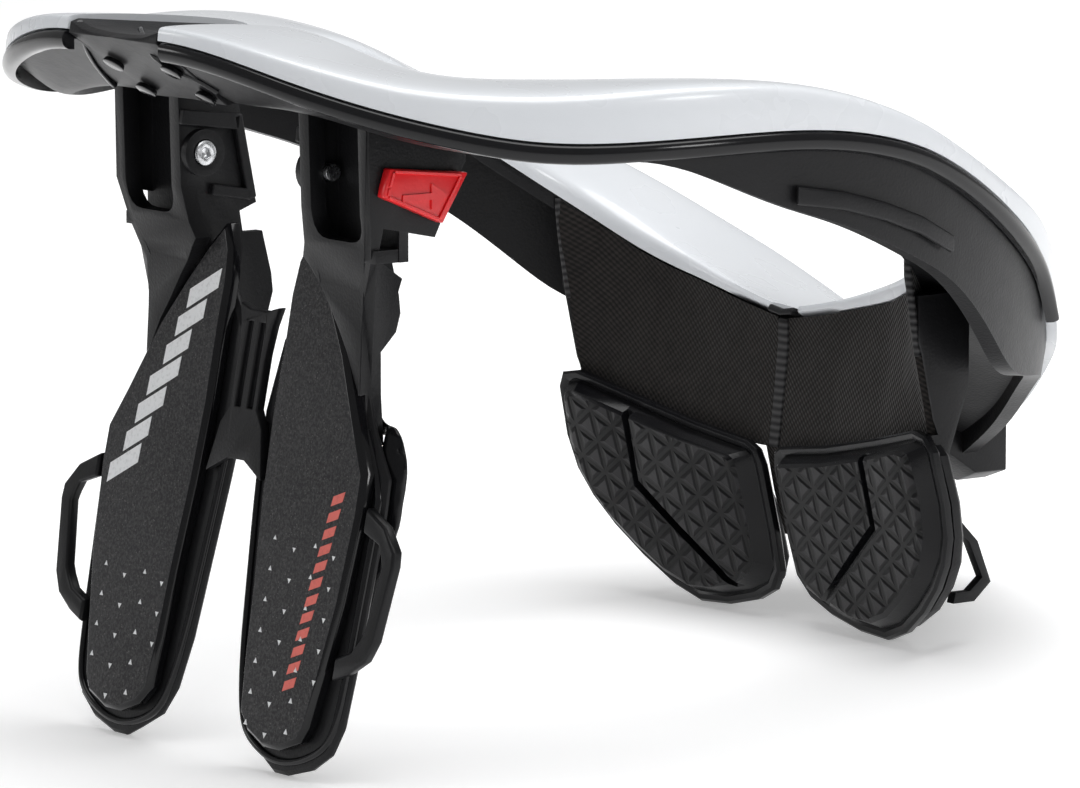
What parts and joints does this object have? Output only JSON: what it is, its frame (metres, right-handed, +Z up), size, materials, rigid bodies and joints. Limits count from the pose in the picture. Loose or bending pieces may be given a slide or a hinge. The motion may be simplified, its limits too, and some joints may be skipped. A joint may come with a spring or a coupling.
{
  "type": "motocross neck brace",
  "caption": "White-topped collar brace with two speckled back legs, red pull tabs, mesh front and rubber chest pads.",
  "frame": {"origin": "middle of the bounding box's bottom, on the level surface that the two back legs and two chest pads rest on", "axes": "+X to the wearer's right, +Y to the wearer's front, +Z up"},
  "size_m": [0.268, 0.2944, 0.2024],
  "materials": {
    "white_shell": "satin white moulded shell",
    "gloss_black": "glossy black moulding",
    "black_moulding": "satin black nylon moulding",
    "speckled_panel": "matte charcoal, finely speckled",
    "black_pad": "soft satin padding",
    "steel": "bright machined",
    "red_plastic": "satin red",
    "black_mesh": "fine woven mesh",
    "black_rubber": "moulded, embossed, satin"
  },
  "bodies": {
    "root": {"collar_pad_right": "white_shell", "collar_pad_left": "white_shell", "collar_rim_right": "gloss_black", "collar_rim_left": "gloss_black", "chassis_right": "black_moulding", "chassis_left": "black_moulding", "side_bar_right": "black_moulding", "side_bar_left": "black_moulding", "rear_bridge": "gloss_black", "front_latch": "black_moulding", "rear_screw_upper_right": "black_moulding", "rear_screw_upper_left": "black_moulding", "rear_screw_lower_right": "black_moulding", "rear_screw_lower_left": "black_moulding", "leg_arm_right": "black_moulding", "leg_arm_left": "black_moulding", "leg_panel_right": "speckled_panel", "leg_panel_left": "speckled_panel", "leg_pad_right": "black_pad", "leg_pad_left": "black_pad", "leg_bolt_right": "steel", "leg_bolt_left": "steel", "leg_loop_right": "black_moulding", "leg_loop_left": "black_moulding", "spine_web": "black_moulding", "chest_fabric_right": "black_mesh", "chest_fabric_left": "black_mesh", "chest_seam": "black_mesh", "chest_pad_right": "black_rubber", "chest_pad_left": "black_rubber", "chest_plate_right": "black_moulding", "chest_plate_left": "black_moulding", "chest_loop_right": "black_moulding", "chest_loop_left": "black_moulding"},
    "pull_tab_right_body": {"pull_tab_right": "red_plastic"},
    "pull_tab_left_body": {"pull_tab_left": "red_plastic"}
  },
  "joints": [
    {"name": "pull_tab_right_slide", "type": "slide", "parent": "root", "child": "pull_tab_right_body", "axis": [1, 0, 0], "range_m": [0, 0.005], "stiffness_N_per_m": 120},
    {"name": "pull_tab_left_slide", "type": "slide", "parent": "root", "child": "pull_tab_left_body", "axis": [-1, 0, 0], "range_m": [0, 0.005], "stiffness_N_per_m": 120}
  ]
}
